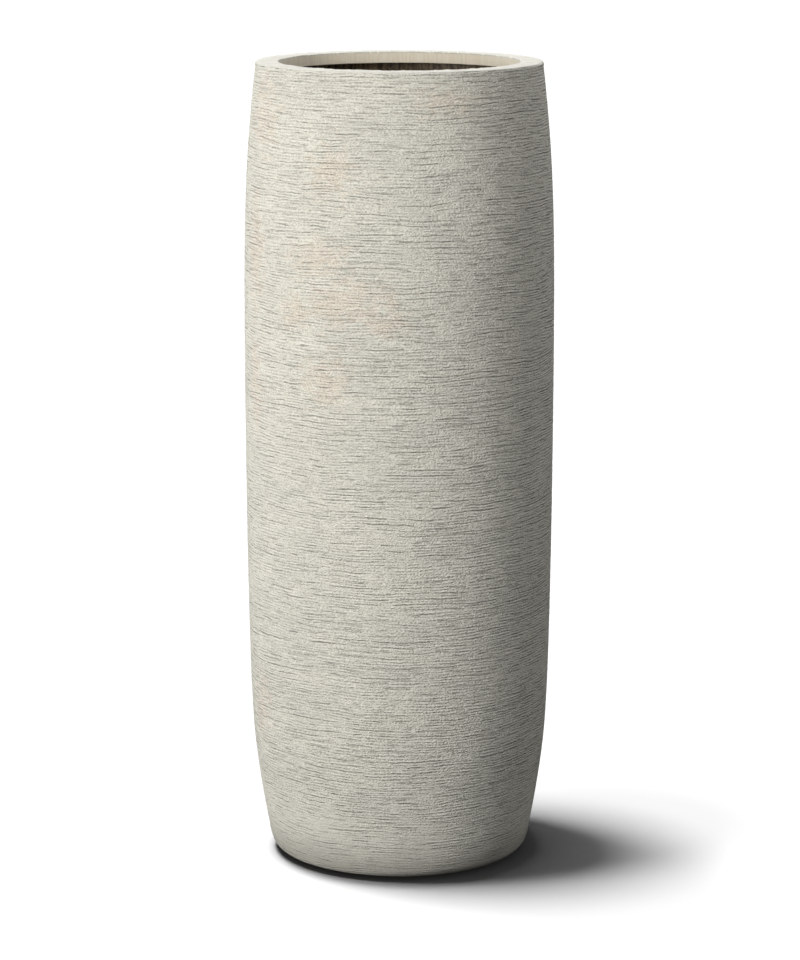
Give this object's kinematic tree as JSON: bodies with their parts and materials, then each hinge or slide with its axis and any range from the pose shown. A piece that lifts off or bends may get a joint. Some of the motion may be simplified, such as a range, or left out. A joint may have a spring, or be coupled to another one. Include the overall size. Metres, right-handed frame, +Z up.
{
  "type": "tall fiberglass planter",
  "caption": "Tall, slightly barrel-shaped hollow floor planter with a combed stone-effect coat, a flat bonded rim, a drained bottom with a lift-out stopper and low rubber pads.",
  "frame": {"origin": "on the floor, under the planter's axis", "axes": "+Z up along the planter's axis, +X to the right and -Y towards the viewer; the pads lie on the diagonals"},
  "size_m": [0.3464, 0.3464, 0.9],
  "materials": {
    "combed_coat": "hand-combed horizontal grooves, matt",
    "rim_coat": "trowelled smooth, matt",
    "laminate": "raw brushed glass-fibre resin",
    "base_laminate": "raw glass-fibre resin",
    "bonding_paste": "cured paste, satin",
    "stopper_rubber": "moulded",
    "pad_rubber": "moulded"
  },
  "bodies": {
    "planter": {"outer_coat": "combed_coat", "shell_laminate": "laminate", "rim_collar": "rim_coat", "rim_bond": "bonding_paste", "base_panel": "base_laminate", "base_fillet": "bonding_paste", "foot_pad_1": "pad_rubber", "foot_pad_2": "pad_rubber", "foot_pad_3": "pad_rubber", "foot_pad_4": "pad_rubber"},
    "stopper": {"drain_plug": "stopper_rubber"}
  },
  "joints": [
    {"name": "drain_plug_lift", "type": "slide", "parent": "planter", "child": "stopper", "axis": [0, 0, 1], "range_m": [0, 0.92]}
  ]
}
